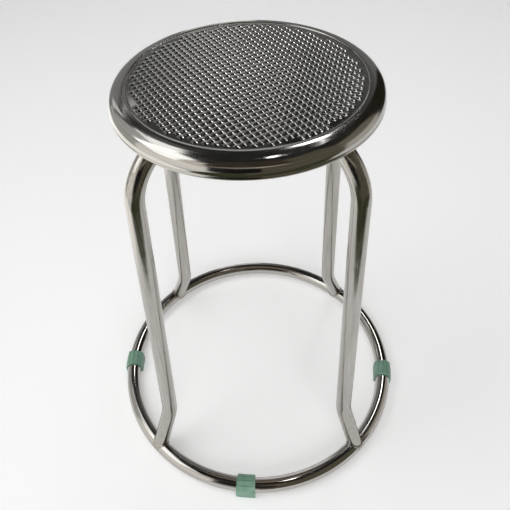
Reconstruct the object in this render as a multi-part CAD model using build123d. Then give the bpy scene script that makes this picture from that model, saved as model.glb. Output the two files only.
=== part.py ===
from build123d import *
import os
from math import asin, atan2, cos, degrees, pi, radians, sin, sqrt, tan

os.makedirs("parts", exist_ok=True)

# Millimetres. +Z is up, the floor is z = 0 and the stool's upright axis is the Z axis.
# The front is -Y, and the four legs stand on the diagonals.

# Tubing of the legs and the base ring
TUBE_D = 19.0
TUBE_WALL = 1.0

# Base ring
RING_D = 365.6
RING_LIFT = 1.2

# Legs, each in its own upright plane through the axis
LEG_AZIMUTHS = {"rear_right": 45.0, "rear_left": 135.0, "front_left": 225.0, "front_right": 315.0}
KNEE_OUT = 156.8
KNEE_Z = 71.6
KNEE_BEND = 50.0
ARCH_OUT = 142.2
ARCH_Z = 471.0
ARCH_BEND = 56.0

# Welds: their reach, how far they climb the legs, and the share of the tube's height under the seat
WELD_LEG = 1.4
WELD_RISE = 1.0
FLANK_SHARE = 0.8

# Seat
SEAT_D = 264.0
SHEET_T = 0.8
BOARD_T = 6.0
BOARD_PLAY = 0.5
CREST_IN = 16.3
CREST_RISE = 0.3
RISE_W = 1.5
BEAD_D = 4.6
LIP_OUT = 0.5
WAIST_OVER_BEAD = 4.1
RIM_OVER_LEG = 3.3

# Screws that hold the legs to the board
SCREW_OUT = 60.0
SCREW_D = 4.2
SCREW_BITE = 4.5
SCREW_PLAY = 0.05
SCREW_HOLE_D = 5.2
HEAD_D = 9.5
HEAD_H = 3.0
HEAD_EDGE = 1.0

# Foot clips: where each one sits on the ring, and which end has the plain band
CLIP_AZIMUTHS = {"left": 180.0, "front": 265.6, "right": 353.7}
CLIP_BAND_ENDS = {"left": 1, "front": 1, "right": -1}
CLIP_LENGTH = 23.0
CLIP_WALL = 2.2
CLIP_PLAY = 0.06
CLIP_LIP = 2.4
CLIP_SLOT = 6.0
CLIP_BAND = 3.0
FACET_ANGLE = 30.0
FLUTE_D = 2.6
FLUTE_ANGLES = (60.0, 90.0, 120.0)

# Sizes that follow from the values above
TUBE_R = TUBE_D / 2
RING_R = RING_D / 2
RING_Z = RING_LIFT + TUBE_R
SEAT_R = SEAT_D / 2
CREASE_R = SEAT_R - CREST_IN - RISE_W
BOARD_Z = ARCH_Z + TUBE_R
SHEET_Z = BOARD_Z + BOARD_T
SEAT_Z = SHEET_Z + SHEET_T
LEG_LEAN = atan2(KNEE_OUT - ARCH_OUT, ARCH_Z - KNEE_Z)


def tube_top_at(out):
    """Height of the top of a leg's upper bend at a distance from the axis."""
    bend_start = ARCH_BEND / tan((pi / 2 + LEG_LEAN) / 2)
    bend_centre_out = ARCH_OUT - bend_start
    outer_bend = ARCH_BEND + TUBE_R
    return ARCH_Z - ARCH_BEND + sqrt(outer_bend**2 - (out - bend_centre_out) ** 2)


BEAD_OUT = SEAT_R + LIP_OUT - BEAD_D / 2
BEAD_Z = tube_top_at(BEAD_OUT) + RIM_OVER_LEG + BEAD_D / 2


def turned(azimuth):
    """Places a shape drawn over +X at an azimuth around the stool's axis."""
    return Rot(0, 0, azimuth)


def leg_corners():
    """Corner points of one leg's centre line, from the ring up to the corner under the seat."""
    return [(RING_R, 0, RING_Z), (KNEE_OUT, 0, KNEE_Z), (ARCH_OUT, 0, ARCH_Z)]


def swept_rod(path, radius):
    """A round rod along a path."""
    start = Plane(origin=path @ 0, z_dir=path % 0)
    return sweep(start * Circle(radius), path=path)


def swept_tube(path):
    """A leg's tube along a path."""
    return swept_rod(path, TUBE_R) - swept_rod(path, TUBE_R - TUBE_WALL)


def solid_ring(radius):
    """A solid hoop on the ring's centre line."""
    return Pos(0, 0, RING_Z) * Torus(RING_R, radius)


def cross_bar(radius, length):
    """A rod along the top run of a leg that lies over the X axis, centred on the stool's axis."""
    return Pos(0, 0, ARCH_Z) * Rot(0, 90, 0) * Cylinder(radius, length)


def screw_hole(depth_above, diameter):
    """A round hole up through a leg's top run over +X."""
    low = ARCH_Z - TUBE_D
    high = BOARD_Z + depth_above
    return Pos(SCREW_OUT, 0, (low + high) / 2) * Cylinder(diameter / 2, high - low)


def base_ring():
    """The hoop of tube that the legs stand on."""
    return solid_ring(TUBE_R) - solid_ring(TUBE_R - TUBE_WALL)


def leg_arch():
    """One tube bent to an arch: front left leg, top run and rear right leg."""
    side = leg_corners()
    far_side = [(-x, y, z) for x, y, z in reversed(side)]
    path = FilletPolyline(side + far_side, radius=[KNEE_BEND, ARCH_BEND, ARCH_BEND, KNEE_BEND])
    arch = swept_tube(path) - solid_ring(TUBE_R)
    for turn in (0, 180):
        arch -= turned(turn) * screw_hole(0, SCREW_HOLE_D)
    return turned(LEG_AZIMUTHS["rear_right"]) * arch


def half_leg(name):
    """One of the two legs whose top run butts against the side of the arch."""
    path = FilletPolyline(leg_corners() + [(0, 0, ARCH_Z)], radius=[KNEE_BEND, ARCH_BEND])
    leg = swept_tube(path) - solid_ring(TUBE_R)
    leg -= turned(90) * cross_bar(TUBE_R, TUBE_D * 2)
    leg -= screw_hole(0, SCREW_HOLE_D)
    return turned(LEG_AZIMUTHS[name]) * leg


def ring_welds():
    """A weld bead round the foot of each leg."""
    foot = Line((RING_R, 0, RING_Z), (KNEE_OUT, 0, KNEE_Z))
    bead = swept_rod(foot, TUBE_R + WELD_LEG) & solid_ring(TUBE_R + WELD_RISE)
    bead = bead - swept_rod(foot, TUBE_R) - solid_ring(TUBE_R)
    return [turned(azimuth) * bead for azimuth in LEG_AZIMUTHS.values()]


def crossing_welds():
    """Weld beads on both flanks of each half leg, in the corner where it meets the arch."""
    half_arc = degrees(asin(FLANK_SHARE))
    corner = EllipticalCenterArc(
        (0, 0), TUBE_R * sqrt(2), TUBE_R, start_angle=-half_arc, arc_size=2 * half_arc
    )
    bead = swept_rod(Plane.XZ * Pos(0, ARCH_Z) * corner, WELD_LEG)
    for side in (45, 135):
        bead -= turned(side) * cross_bar(TUBE_R, TUBE_D * 4)
    return [turned(quarter) * bead for quarter in (0, 90, 180, 270)]


def pan_side(inset):
    """The seat's outline from the middle of the top to the rim's foot, set in by a distance."""
    top = SEAT_Z - inset
    crest = (SEAT_R - CREST_IN, top + CREST_RISE)
    crease = (CREASE_R, top)
    waist_z = BEAD_Z + WAIST_OVER_BEAD
    rise_radius = ((crest[0] - crease[0]) ** 2 + CREST_RISE**2) / (2 * CREST_RISE)
    flat = Line((0, top), crease)
    rise = RadiusArc(crease, crest, rise_radius)
    over = EllipticalCenterArc(
        (crest[0], waist_z), CREST_IN - inset, crest[1] - waist_z, start_angle=0, arc_size=90
    )
    foot = Line((SEAT_R - inset, waist_z), (SEAT_R - inset, BEAD_Z))
    return [flat, rise, over, foot]


def seat_pan():
    """The pressed seat: flat top, rounded rim and an edge rolled to a bead."""
    outer = pan_side(0)
    inner = pan_side(SHEET_T)
    ends = [
        Line((0, SEAT_Z), (0, SEAT_Z - SHEET_T)),
        Line((SEAT_R, BEAD_Z), (SEAT_R - SHEET_T, BEAD_Z)),
    ]
    sheet = make_face(outer + inner + ends)
    bead = Pos(BEAD_OUT, BEAD_Z) * Circle(BEAD_D / 2)
    bead -= Pos(BEAD_OUT, BEAD_Z) * Circle(BEAD_D / 2 - SHEET_T)
    return revolve(Plane.XZ * (sheet + bead), axis=Axis.Z)


def seat_board():
    """The round board inside the pan, which rests on the legs' top runs."""
    radius = CREASE_R - BOARD_PLAY
    board = Pos(0, 0, BOARD_Z + BOARD_T / 2) * Cylinder(radius, BOARD_T)
    for azimuth in LEG_AZIMUTHS.values():
        board -= turned(azimuth) * screw_hole(SCREW_BITE + SCREW_PLAY, SCREW_D + 2 * SCREW_PLAY)
    return board


def seat_screws():
    """Screws from below each top run, through the tube and into the board."""
    head_top = ARCH_Z - TUBE_R
    length = TUBE_D + SCREW_BITE
    head = Cylinder(HEAD_D / 2, HEAD_H)
    head = fillet(head.edges().sort_by(Axis.Z)[0], HEAD_EDGE)
    shank = Cylinder(SCREW_D / 2, length)
    screw = Pos(0, 0, head_top - HEAD_H / 2) * head + Pos(0, 0, head_top + length / 2) * shank
    return [turned(azimuth) * Pos(SCREW_OUT, 0, 0) * screw for azimuth in LEG_AZIMUTHS.values()]


def clip_section():
    """The clip cut across the ring's tube, drawn about the tube's centre."""
    bore = TUBE_R + CLIP_PLAY
    half = bore + CLIP_WALL
    wall_h = RING_Z - CLIP_LIP
    shoulder = half * tan(radians(FACET_ANGLE / 4))
    corner = half / cos(radians(FACET_ANGLE / 2))
    crown_angles = [radians(FACET_ANGLE * k) for k in range(1, round(180 / FACET_ANGLE))]
    crown = [(corner * cos(angle), corner * sin(angle)) for angle in crown_angles]
    sides = [(-half, shoulder), (-half, -RING_Z), (half, -RING_Z), (half, shoulder)]
    outer = make_face(Polyline(crown + sides, close=True))
    hollow = Circle(bore) + Pos(0, -wall_h / 2) * Rectangle(2 * bore, wall_h)
    slot = Pos(0, -RING_Z) * Rectangle(CLIP_SLOT, 2 * CLIP_LIP)
    return outer - hollow - slot


def round_the_ring(section, degrees_round):
    """Sweeps a section drawn about the tube's centre round the stool's axis, centred on +X."""
    placed = Plane.XZ * Pos(RING_R, RING_Z) * section
    return turned(-degrees_round / 2) * revolve(placed, axis=Axis.Z, revolution_arc=degrees_round)


def foot_clip(name):
    """A clip-on foot: a sleeve open below, with a faceted, fluted crown and lips under the tube."""
    half = TUBE_R + CLIP_PLAY + CLIP_WALL
    length_deg = degrees(CLIP_LENGTH / RING_R)
    band_deg = degrees(CLIP_BAND / RING_R)
    clip = round_the_ring(clip_section(), length_deg)
    for angle in FLUTE_ANGLES:
        spot = Pos(half * cos(radians(angle)), half * sin(radians(angle)))
        flute = round_the_ring(spot * Circle(FLUTE_D / 2), length_deg)
        clip -= turned(-band_deg * CLIP_BAND_ENDS[name]) * flute
    return turned(CLIP_AZIMUTHS[name]) * clip


def save(node, shape):
    """Writes one node, a single solid or a group of separate ones."""
    if isinstance(shape, list):
        shape = Compound(children=shape)
    export_step(shape, f"parts/{node}.step")


save("seat_pan", seat_pan())
save("seat_board", seat_board())
save("seat_screws", seat_screws())
save("leg_arch", leg_arch())
save("leg_rear_left", half_leg("rear_left"))
save("leg_front_right", half_leg("front_right"))
save("crossing_welds", crossing_welds())
save("base_ring", base_ring())
save("ring_welds", ring_welds())
for place in CLIP_AZIMUTHS:
    save(f"foot_clip_{place}", foot_clip(place))
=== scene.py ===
import bmesh
import bpy
from math import atan2, cos, hypot, pi, radians, sin, sqrt
from mathutils import Matrix, Vector


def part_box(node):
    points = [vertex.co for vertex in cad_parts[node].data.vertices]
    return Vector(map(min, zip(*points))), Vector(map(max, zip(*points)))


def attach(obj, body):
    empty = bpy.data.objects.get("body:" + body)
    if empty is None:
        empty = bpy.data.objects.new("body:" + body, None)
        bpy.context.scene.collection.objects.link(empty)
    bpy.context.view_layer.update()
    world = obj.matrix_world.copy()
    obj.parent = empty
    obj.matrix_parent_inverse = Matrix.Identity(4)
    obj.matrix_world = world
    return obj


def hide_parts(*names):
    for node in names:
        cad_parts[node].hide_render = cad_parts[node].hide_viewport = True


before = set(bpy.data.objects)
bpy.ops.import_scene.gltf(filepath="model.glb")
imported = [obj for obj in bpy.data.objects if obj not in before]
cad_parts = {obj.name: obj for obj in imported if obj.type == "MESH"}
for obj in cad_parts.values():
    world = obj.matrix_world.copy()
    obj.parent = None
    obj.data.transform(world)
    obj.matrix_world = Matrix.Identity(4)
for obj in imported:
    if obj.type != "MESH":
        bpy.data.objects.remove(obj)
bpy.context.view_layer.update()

# Metres and degrees. The frame is the CAD's: +Z up, the floor at z = 0, the front at -Y.

# Camera, at the photograph's angle
CAMERA_AT = (0.0156, -0.4998, 0.7776)
CAMERA_PITCH = 42.70
CAMERA_YAW = -3.31
CAMERA_ROLL = -3.27
CAMERA_LENS = 42.06
CAMERA_SENSOR = 36.0
CAMERA_SHIFT = (0.0304, -0.0882)

# Pressed seat sheet: a plain rounded rim with a rolled lip
PAN_LOW, PAN_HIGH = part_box("seat_pan")
BOARD_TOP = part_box("seat_board")[1][2]
SHEET_T = 0.0008
LIP_OUT = 0.0005
LIP_START = 30
LIP_END = -240
CREST_IN = 0.0163
BEAD_R = 0.0023
WAIST_OVER_BEAD = 0.0041

# The sheet inside the rim: a short rise, a flat border and a field of small raised domes
RISE_W = 0.0009
FIELD_R = 0.1125
DOMES_R = 0.1095
DOME_PITCH = 0.00636
DOME_TURN = 32.25
DOME_R = 0.0031
DOME_H = 0.0007

# How finely the sheet is divided
DOME_STEPS = 12
RIM_SEGMENTS = 288
ARC_STEPS = 18
RISE_STEPS = 8

# Sizes that follow from the values above
SEAT_R = PAN_HIGH[0] - LIP_OUT
SEAT_Z = BOARD_TOP + SHEET_T
CREST_Z = PAN_HIGH[2]
CREST_R = SEAT_R - CREST_IN
BEAD_Z = PAN_LOW[2] + BEAD_R
BEAD_OUT = PAN_HIGH[0] - BEAD_R
WAIST_Z = BEAD_Z + WAIST_OVER_BEAD
FIELD_Z = CREST_Z - DOME_H
GRID = DOME_PITCH / DOME_STEPS

# Polished steel: the scale of its smudges, and the scale and depth of the waves in its wall
SMUDGE_SCALE = 38.0
WAVE_SCALE = 60.0
WAVE_DEPTH = 0.0004

# Lamps: where they are, what they point at, their size and the brightness of their face.
# The metal doesn't show those with in_metal set to False.
LAMPS = {
    "window": {"at": (-1.35, -0.50, 1.85), "aim": (0.0, -0.50, 1.85), "size": (1.25, 1.7), "glow": 2.0},
    "high_window": {"at": (-1.35, 0.55, 2.39), "aim": (0.0, 0.0, 0.9), "size": (1.0, 1.0), "glow": 1.6},
    "back_pane": {
        "at": (-0.09, 1.6, 1.44), "aim": (-0.05, 0.0, 0.5),
        "size": (0.46, 0.29), "glow": 0.50, "roll": -21.0,
    },
    "strip": {
        "at": (0.45, 1.35, 2.2), "aim": (0.45, 1.35, 0.0),
        "size": (0.26, 0.50), "glow": 8.5, "roll": 25.8,
    },
    "strip_near": {
        "at": (0.785, 0.665, 2.2), "aim": (0.785, 0.665, 0.0),
        "size": (0.06, 0.85), "glow": 3.0, "roll": 25.8,
    },
    "spot": {"at": (0.29, -0.06, 2.2), "aim": (0.29, -0.06, 0.0), "size": (0.10, 0.26), "glow": 9.0},
    "ceiling": {
        "at": (-0.5, 0.2, 2.6), "aim": (0.0, 0.0, 0.3),
        "size": (2.6, 2.6), "glow": 1.15, "in_metal": False,
    },
    "fill": {
        "at": (0.3, -2.2, 1.1), "aim": (0.0, 0.0, 0.1),
        "size": (1.6, 1.2), "glow": 3.8, "in_metal": False,
    },
}

# Cards that glow and show only in reflections, painted reflections of the room's lit and shaded walls: the
# way they lie from the stool (0 is the rear, 90 the right), how far off they are, their width, the heights
# of their lower and upper edges, and the tone they glow with
CARDS = {
    "wall_left": (-122.0, 1.42, 1.6, 0.0, 1.0, (1.15, 1.11, 1.04)),
    "corner_left": (-138.0, 1.45, 0.60, 1.0, 1.9, (0.95, 0.90, 0.82)),
    "shade_left": (-75.0, 1.42, 0.86, 0.0, 1.85, (0.55, 0.54, 0.52)),
    "pane_left": (-42.0, 1.6, 0.98, 2.14, 3.05, (0.14, 0.14, 0.14)),
    "wall_rear": (-8.0, 1.75, 3.2, 0.15, 1.3, (0.20, 0.20, 0.20)),
    "wall_rear_left": (-31.0, 1.7, 1.0, 0.15, 1.35, (0.28, 0.28, 0.28)),
    "post_left": (-50.0, 1.5, 0.16, 0.70, 1.35, (0.95, 0.95, 0.95)),
    "rail_left": (-33.0, 1.6, 0.90, 1.49, 1.56, (0.80, 0.80, 0.80)),
    "dark_high": (18.0, 1.45, 0.76, 1.47, 1.86, (0.02, 0.02, 0.02)),
    "door_rear": (-6.0, 1.6, 0.34, 0.0, 0.92, (1.0, 1.0, 1.0)),
    "dark_rear": (50.0, 1.2, 0.73, 0.2, 1.65, (0.02, 0.018, 0.012)),
    "dark_right": (80.0, 1.2, 0.9, 1.35, 1.85, (0.03, 0.027, 0.02)),
    "wall_right": (86.0, 1.2, 0.86, 0.0, 0.70, (0.58, 0.55, 0.50)),
    "shade_right": (86.0, 1.2, 0.86, 0.70, 1.35, (0.22, 0.20, 0.16)),
    "wall_front_right": (127.0, 1.2, 0.92, 0.0, 2.2, (0.13, 0.12, 0.085)),
    "brown_front": (163.0, 0.9, 0.56, 0.0, 0.86, (0.13, 0.115, 0.085)),
    "line_front": (178.0, 0.9, 1.0, 0.86, 0.98, (0.60, 0.54, 0.44)),
    "shade_front": (180.0, 0.9, 1.2, 1.02, 3.0, (0.055, 0.045, 0.032)),
    "dark_front": (-172.0, 0.8, 0.52, 0.30, 0.76, (0.01, 0.01, 0.01)),
    "dusk_front": (-170.0, 0.85, 0.50, 0.76, 0.86, (0.05, 0.045, 0.035)),
}

# Mats just over the floor, which show only in reflections, by their corners and tone: a dark one in front, a
# painted shadow on the floor there, and one at the left that glows brighter than white, a painted pool of
# light on the floor
MATS = {
    # Painted shadow: a dark sheet standing for the shadow on the floor in front, seen only in the metal
    "painted_shadow_mat": ([(-0.9, -3.5), (1.5, -3.5), (1.5, -0.17), (-0.5, -0.49)], (0.06, 0.065, 0.033)),
    # Painted pool of light: a sheet glowing brighter than white on the floor at the left, seen only in the
    # metal
    "painted_light_mat": ([(-1.3, -0.5), (-0.45, -0.5), (-0.45, 1.0), (-1.3, 1.0)], (1.5, 1.47, 1.42)),
}
MAT_Z = 0.012

# Floor, and the brightness of the studio by direction: 0 is level, 1 straight up
FLOOR_SIZE = 60.0
FLOOR_COLOUR = 0.88
FLOOR_ROUGHNESS = 0.9
FLOOR_GLOW = 0.29
SKY = [
    (0.0, 0.80), (0.09, 0.60), (0.18, 0.28), (0.34, 0.18),
    (0.45, 0.13), (0.57, 0.065), (0.70, 0.03), (1.0, 0.02),
]


# Helpers for meshes and materials

def add_object(name, data):
    """Puts new data in the scene as an object."""
    made = bpy.data.objects.new(name, data)
    bpy.context.collection.objects.link(made)
    return made


def add_node(tree, kind, inputs=None, **options):
    """Adds a shader node, with its options set and its inputs set or linked."""
    made = tree.nodes.new(kind)
    for key, value in options.items():
        setattr(made, key, value)
    for key, value in (inputs or {}).items():
        if isinstance(value, bpy.types.NodeSocket):
            tree.links.new(value, made.inputs[key])
        else:
            made.inputs[key].default_value = value
    return made


def new_material(name):
    """A material with its node tree and its Principled shader."""
    material = bpy.data.materials.new(name)
    material.use_nodes = True
    tree = material.node_tree
    return material, tree, tree.nodes["Principled BSDF"]


def grey(value):
    """A colour without hue."""
    return (value, value, value, 1.0)


def combine(tree, operation, first, second, **options):
    """The result of a maths operation on two values."""
    made = add_node(tree, "ShaderNodeMath", {0: first, 1: second}, operation=operation, **options)
    return made.outputs[0]


def ramp(tree, factor, stops):
    """A colour ramp through (position, colour) stops."""
    made = add_node(tree, "ShaderNodeValToRGB", {"Fac": factor})
    elements = made.color_ramp.elements
    while len(elements) < len(stops):
        elements.new(0.5)
    for element, (position, colour) in zip(elements, stops):
        element.position = position
        element.color = colour
    return made.outputs["Color"]


def noise(tree, vector, scale, detail=3.0, roughness=0.55):
    """The grey value of a noise texture."""
    inputs = {"Vector": vector, "Scale": scale, "Detail": detail, "Roughness": roughness}
    return add_node(tree, "ShaderNodeTexNoise", inputs).outputs["Fac"]


def place(tree):
    """A point's own place on the object, in metres."""
    return add_node(tree, "ShaderNodeTexCoord").outputs["Object"]


def stretched(tree, vector, scale):
    """Coordinates scaled by axis, so that a texture runs in streaks."""
    return add_node(tree, "ShaderNodeMapping", {"Vector": vector, "Scale": scale}).outputs["Vector"]


def round_the_axis(tree, along, across):
    """Coordinates that run round the stool's axis, for streaks along a hoop."""
    x, y, z = add_node(tree, "ShaderNodeSeparateXYZ", {"Vector": place(tree)}).outputs
    angle = combine(tree, "ARCTAN2", y, x)
    level = add_node(tree, "ShaderNodeCombineXYZ", {"X": x, "Y": y}).outputs[0]
    radius = add_node(tree, "ShaderNodeVectorMath", {0: level}, operation="LENGTH").outputs["Value"]
    joined = add_node(tree, "ShaderNodeCombineXYZ", {"X": angle, "Y": radius, "Z": z}).outputs[0]
    return stretched(tree, joined, (along, across, across))


def bump(tree, height, strength, distance):
    """Normals tilted by a height."""
    made = add_node(tree, "ShaderNodeBump", {"Height": height, "Strength": strength, "Distance": distance})
    return made.outputs["Normal"]


# Materials

def steel(name, streaks, dark, light, glossiest, dullest, wave):
    """Polished steel with drawn streaks, small changes of gloss and a slightly wavy wall."""
    material, tree, shader = new_material(name)
    streak = noise(tree, streaks(tree), scale=1.0, detail=4.0)
    smudge = noise(tree, place(tree), SMUDGE_SCALE, detail=4.0)
    both = combine(tree, "MULTIPLY", streak, smudge)
    colour = ramp(tree, streak, [(0.3, (*dark, 1)), (0.7, (*light, 1))])
    roughness = ramp(tree, both, [(0.12, grey(glossiest)), (0.42, grey(dullest))])
    wavy = noise(tree, place(tree), WAVE_SCALE, detail=1.0)
    tree.links.new(colour, shader.inputs["Base Color"])
    tree.links.new(roughness, shader.inputs["Roughness"])
    tree.links.new(bump(tree, wavy, wave, WAVE_DEPTH), shader.inputs["Normal"])
    shader.inputs["Metallic"].default_value = 1.0
    return material


def leg_steel():
    """Drawn tube, with its streaks upright along the legs."""
    return steel(
        "leg_steel", lambda tree: stretched(tree, place(tree), (600.0, 600.0, 8.0)),
        dark=(0.37, 0.355, 0.325), light=(0.51, 0.495, 0.465), glossiest=0.12, dullest=0.28, wave=0.25,
    )


def ring_steel():
    """Drawn tube, with its streaks along the ring."""
    return steel(
        "ring_steel", lambda tree: round_the_axis(tree, along=5.0, across=900.0),
        dark=(0.44, 0.425, 0.40), light=(0.51, 0.495, 0.47), glossiest=0.05, dullest=0.14, wave=0.15,
    )


def field_steel():
    """Rolled sheet, with its streaks one way across the seat."""
    return steel(
        "field_steel", lambda tree: stretched(tree, place(tree), (60.0, 900.0, 60.0)),
        dark=(0.45, 0.44, 0.42), light=(0.52, 0.51, 0.49), glossiest=0.05, dullest=0.12, wave=0.05,
    )


def rim_steel():
    """The sheet polished along its rim."""
    return steel(
        "rim_steel", lambda tree: round_the_axis(tree, along=4.0, across=700.0),
        dark=(0.43, 0.42, 0.395), light=(0.53, 0.52, 0.495), glossiest=0.09, dullest=0.22, wave=0.05,
    )


def weld_steel():
    """Weld bead: rippled, duller than the tube and tinted by heat."""
    material, tree, shader = new_material("weld_bead")
    grain = noise(tree, place(tree), scale=420.0, detail=4.0)
    tint = noise(tree, place(tree), scale=70.0, detail=2.0)
    colour = ramp(tree, tint, [(0.35, (0.30, 0.27, 0.22, 1)), (0.6, (0.42, 0.40, 0.37, 1))])
    roughness = ramp(tree, grain, [(0.3, grey(0.22)), (0.7, grey(0.45))])
    tree.links.new(colour, shader.inputs["Base Color"])
    tree.links.new(roughness, shader.inputs["Roughness"])
    tree.links.new(bump(tree, grain, strength=0.5, distance=0.0005), shader.inputs["Normal"])
    shader.inputs["Metallic"].default_value = 1.0
    return material


def screw_steel():
    """Plated screw with fine turning marks."""
    material, tree, shader = new_material("screw_plating")
    turning = noise(tree, stretched(tree, place(tree), (300.0, 300.0, 2500.0)), scale=1.0)
    colour = ramp(tree, turning, [(0.3, (0.42, 0.41, 0.38, 1)), (0.7, (0.60, 0.59, 0.56, 1))])
    roughness = ramp(tree, turning, [(0.3, grey(0.25)), (0.7, grey(0.4))])
    tree.links.new(colour, shader.inputs["Base Color"])
    tree.links.new(roughness, shader.inputs["Roughness"])
    shader.inputs["Metallic"].default_value = 1.0
    return material


def board_wood():
    """Thin plywood board: long grain, with pale and dark plies at its edge."""
    material, tree, shader = new_material("plywood")
    lengthways = stretched(tree, place(tree), (18.0, 320.0, 900.0))
    grain = noise(tree, lengthways, scale=1.0, detail=5.0, roughness=0.65)
    colour = ramp(tree, grain, [
        (0.25, (0.30, 0.19, 0.10, 1)), (0.5, (0.48, 0.34, 0.20, 1)), (0.8, (0.60, 0.46, 0.29, 1)),
    ])
    roughness = ramp(tree, grain, [(0.2, grey(0.75)), (0.8, grey(0.55))])
    tree.links.new(colour, shader.inputs["Base Color"])
    tree.links.new(roughness, shader.inputs["Roughness"])
    tree.links.new(bump(tree, grain, strength=0.4, distance=0.0003), shader.inputs["Normal"])
    return material


def green_plastic():
    """Sage green moulded plastic with a fine grain and a few pale scuffs."""
    material, tree, shader = new_material("green_plastic_moulded")
    cloud = noise(tree, place(tree), scale=130.0)
    upright = stretched(tree, place(tree), (700.0, 700.0, 160.0))
    scuff = noise(tree, upright, scale=1.0, detail=5.0, roughness=0.7)
    grain = noise(tree, place(tree), scale=1500.0, detail=2.0)
    body = ramp(tree, cloud, [(0.35, (0.17, 0.32, 0.235, 1)), (0.65, (0.24, 0.41, 0.31, 1))])
    marks = ramp(tree, scuff, [(0.66, grey(0.0)), (0.78, grey(0.5))])
    layers = {"Factor": marks, "A": body, "B": (0.48, 0.62, 0.54, 1)}
    worn = add_node(tree, "ShaderNodeMix", layers, data_type="RGBA").outputs["Result"]
    roughness = ramp(tree, scuff, [(0.3, grey(0.34)), (0.7, grey(0.55))])
    tree.links.new(worn, shader.inputs["Base Color"])
    tree.links.new(roughness, shader.inputs["Roughness"])
    tree.links.new(bump(tree, grain, strength=0.15, distance=0.0002), shader.inputs["Normal"])
    return material


# Seat

def arc(centre, across, up, start, end, steps):
    """Points on part of an ellipse, by angle from the outward direction."""
    angles = [radians(start + (end - start) * k / steps) for k in range(steps + 1)]
    return [(centre[0] + across * cos(a), centre[1] + up * sin(a)) for a in angles]


def soft_step(share):
    """A rise from 0 to 1 that starts and ends level."""
    return (1 - cos(pi * share)) / 2


def pan_outline():
    """The rim's (radius, height) points: from the border over the rim to the rolled lip, and back inside."""
    border = [(FIELD_R + GRID, FIELD_Z)]
    shares = [k / RISE_STEPS for k in range(RISE_STEPS)]
    rise = [(CREST_R - RISE_W * (1 - k), FIELD_Z + DOME_H * soft_step(k)) for k in shares]
    over = arc((CREST_R, WAIST_Z), CREST_IN, CREST_Z - WAIST_Z, 90, 0, ARC_STEPS)
    neck_z = BEAD_Z + sqrt(BEAD_R**2 - (SEAT_R - BEAD_OUT) ** 2)
    neck = [(SEAT_R, (WAIST_Z + neck_z) / 2), (SEAT_R, neck_z)]
    lip = arc((BEAD_OUT, BEAD_Z), BEAD_R, BEAD_R, LIP_START, LIP_END, ARC_STEPS)
    inside = arc((CREST_R, WAIST_Z), CREST_IN - SHEET_T, CREST_Z - SHEET_T - WAIST_Z, 0, 90, ARC_STEPS)
    under = [(FIELD_R, SEAT_Z - SHEET_T)]
    return border + rise + over + neck + lip + inside + under


def add_rim(mesh):
    """Turns the rim's outline round the axis and closes it underneath. Gives back its first loop."""
    angles = [2 * pi * k / RIM_SEGMENTS for k in range(RIM_SEGMENTS)]
    loops = []
    for radius, height in pan_outline():
        loops.append([mesh.verts.new((radius * cos(a), radius * sin(a), height)) for a in angles])
    for low, high in zip(loops, loops[1:]):
        for k in range(RIM_SEGMENTS):
            n = (k + 1) % RIM_SEGMENTS
            mesh.faces.new((low[k], low[n], high[n], high[k]))
    mesh.faces.new(loops[-1])
    return loops[0]


def field_height(x, y):
    """The height of the sheet at a place in the square pattern, which has only whole domes."""
    across = DOME_PITCH * round(x / DOME_PITCH)
    along = DOME_PITCH * round(y / DOME_PITCH)
    if hypot(across, along) > DOMES_R:
        return FIELD_Z
    return FIELD_Z + DOME_H * max(1 - ((x - across) ** 2 + (y - along) ** 2) / DOME_R**2, 0.0)


def add_field(mesh):
    """Adds the domed sheet as a fine square grid, with its outermost points drawn in to a round edge."""
    turn = Matrix.Rotation(radians(DOME_TURN), 3, "Z")
    reach = int(FIELD_R / GRID) + 1
    corners = {}

    def inside(i, j):
        return hypot(i, j) * GRID < FIELD_R

    def corner(i, j):
        if (i, j) not in corners:
            pull = FIELD_R / max(hypot(i, j) * GRID, FIELD_R)
            spot = turn @ Vector((i * GRID * pull, j * GRID * pull, 0.0))
            spot.z = field_height(i * GRID, j * GRID)
            corners[i, j] = mesh.verts.new(spot)
        return corners[i, j]

    for i in range(-reach, reach):
        for j in range(-reach, reach):
            square = [(i, j), (i + 1, j), (i + 1, j + 1), (i, j + 1)]
            if any(inside(*spot) for spot in square):
                mesh.faces.new([corner(*spot) for spot in square])
    return [vert for vert in mesh.verts if vert.is_boundary]


def add_band(mesh, inner, outer):
    """Joins two rings of points round the axis with a band of triangles."""
    def turn(vert):
        return atan2(vert.co.y, vert.co.x)

    a = sorted(inner, key=turn)
    b = sorted(outer, key=turn)
    turn_a = [turn(vert) for vert in a] + [turn(a[0]) + 2 * pi]
    turn_b = [turn(vert) for vert in b] + [turn(b[0]) + 2 * pi]
    i = j = 0
    while i < len(a) or j < len(b):
        here, there = a[i % len(a)], b[j % len(b)]
        if j == len(b) or (i < len(a) and turn_a[i + 1] < turn_b[j + 1]):
            i += 1
            mesh.faces.new((here, a[i % len(a)], there))
        else:
            j += 1
            mesh.faces.new((here, b[j % len(b)], there))


def seat_pan():
    """The whole pressed sheet: domed field, plain border, rounded rim and rolled lip."""
    mesh = bmesh.new()
    field_edge = add_field(mesh)
    field_faces = list(mesh.faces)
    add_band(mesh, field_edge, add_rim(mesh))
    bmesh.ops.recalc_face_normals(mesh, faces=mesh.faces)
    for face in mesh.faces:
        face.smooth = True
        face.material_index = 1
    for face in field_faces:
        face.material_index = 0
    data = bpy.data.meshes.new("seat_pan_pressed")
    mesh.to_mesh(data)
    mesh.free()
    pan = add_object("seat_pan_pressed", data)
    pan.data.materials.append(field_steel())
    pan.data.materials.append(rim_steel())
    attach(pan, "frame")
    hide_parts("seat_pan")


def dress(material, *names):
    """Gives CAD nodes a material."""
    for name in names:
        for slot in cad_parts[name].material_slots:
            slot.material = material


# Studio

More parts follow.
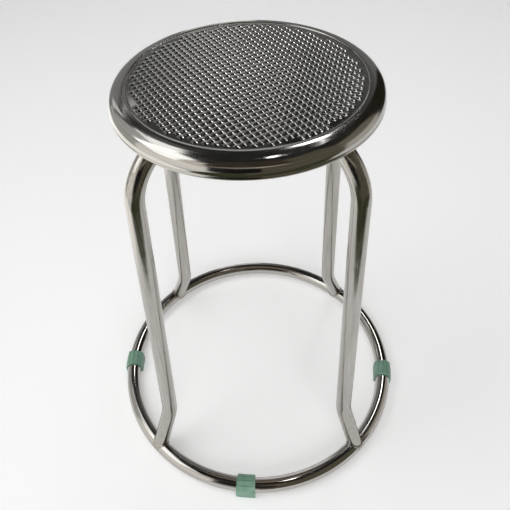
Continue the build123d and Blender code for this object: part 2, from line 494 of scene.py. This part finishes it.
def add_lamp(name, at, aim, size, glow, roll=0.0, in_metal=True):
    """A soft box whose face has the given brightness."""
    data = bpy.data.lights.new(name, "AREA")
    data.shape = "RECTANGLE"
    data.size, data.size_y = size
    data.energy = glow * pi * size[0] * size[1]
    lamp = add_object(name, data)
    facing = (Vector(aim) - Vector(at)).to_track_quat("-Z", "Y").to_matrix().to_4x4()
    lamp.matrix_world = Matrix.Translation(at) @ facing @ Matrix.Rotation(radians(roll), 4, "Z")
    lamp.visible_camera = False
    lamp.visible_glossy = in_metal


def add_panel(name, corners, tone):
    """A board that glows with its tone and shows only in reflections, as studios use to shape them: a
    painted reflection, light or dark by its tone.
    """
    data = bpy.data.meshes.new(name)
    data.from_pydata(corners, [], [(0, 1, 2, 3)])
    panel = add_object(name, data)
    material, _, shader = new_material(name)
    shader.inputs["Base Color"].default_value = grey(0.0)
    shader.inputs["Specular IOR Level"].default_value = 0.0
    # The tone is glow, not lit colour: a painted reflection of light or of shade in the room
    shader.inputs["Emission Color"].default_value = (*tone, 1)
    shader.inputs["Emission Strength"].default_value = 1.0
    data.materials.append(material)
    panel.visible_camera = False
    panel.visible_diffuse = False
    panel.visible_shadow = False


def add_card(name, way, far, width, low, high, tone):
    """A panel that stands upright and faces the stool."""
    out = Vector((sin(radians(way)), cos(radians(way)), 0.0)) * far
    side = Vector((out.y, -out.x, 0.0)).normalized() * width / 2
    spots = [out - side, out + side]
    corners = [(p.x, p.y, low) for p in spots] + [(p.x, p.y, high) for p in reversed(spots)]
    add_panel(name, corners, tone)


def add_mat(name, corners, tone):
    """A panel that lies just over the floor."""
    add_panel(name, [(x, y, MAT_Z) for x, y in corners], tone)


def add_floor():
    """A plain pale floor that keeps the stool's shadow. Its glow is only seen, by camera and mirror rays."""
    bpy.ops.mesh.primitive_plane_add(size=FLOOR_SIZE)
    floor = bpy.context.object
    floor.name = "floor"
    material, tree, shader = new_material("floor")
    ray = add_node(tree, "ShaderNodeLightPath").outputs
    seen = combine(tree, "ADD", ray["Is Camera Ray"], ray["Is Glossy Ray"])
    seen = combine(tree, "ADD", seen, ray["Is Transmission Ray"], use_clamp=True)
    glow = combine(tree, "MULTIPLY", seen, FLOOR_GLOW)
    shader.inputs["Base Color"].default_value = grey(FLOOR_COLOUR)
    shader.inputs["Roughness"].default_value = FLOOR_ROUGHNESS
    shader.inputs["Specular IOR Level"].default_value = 0.0
    shader.inputs["Emission Color"].default_value = grey(1.0)
    tree.links.new(glow, shader.inputs["Emission Strength"])
    floor.data.materials.append(material)


def add_sky():
    """A studio that is pale near the floor and dark overhead."""
    world = bpy.data.worlds.new("studio")
    bpy.context.scene.world = world
    world.use_nodes = True
    tree = world.node_tree
    towards = add_node(tree, "ShaderNodeTexCoord").outputs["Generated"]
    height = add_node(tree, "ShaderNodeSeparateXYZ", {"Vector": towards}).outputs["Z"]
    colour = ramp(tree, height, [(position, grey(value)) for position, value in SKY])
    tree.links.new(colour, tree.nodes["Background"].inputs["Color"])


def add_camera():
    """Puts the camera where the photograph was taken from."""
    data = bpy.data.cameras.new("camera")
    data.lens = CAMERA_LENS
    data.sensor_width = CAMERA_SENSOR
    data.shift_x, data.shift_y = CAMERA_SHIFT
    camera = add_object("camera", data)
    turn = Matrix.Rotation(radians(-CAMERA_YAW), 4, "Z")
    tilt = Matrix.Rotation(pi / 2 - radians(CAMERA_PITCH), 4, "X")
    roll = Matrix.Rotation(radians(CAMERA_ROLL), 4, "Z")
    camera.matrix_world = Matrix.Translation(CAMERA_AT) @ turn @ tilt @ roll
    bpy.context.scene.camera = camera


add_camera()
seat_pan()
dress(leg_steel(), "leg_arch", "leg_rear_left", "leg_front_right")
dress(ring_steel(), "base_ring")
dress(weld_steel(), "ring_welds", "crossing_welds")
dress(screw_steel(), "seat_screws")
dress(board_wood(), "seat_board")
dress(green_plastic(), "foot_clip_left", "foot_clip_front", "foot_clip_right")

add_floor()
add_sky()
for lamp_name, lamp_values in LAMPS.items():
    add_lamp(lamp_name, **lamp_values)
for card_name, card_values in CARDS.items():
    add_card(card_name, *card_values)
for mat_name, mat_values in MATS.items():
    add_mat(mat_name, *mat_values)
bpy.context.scene.view_settings.view_transform = "Standard"
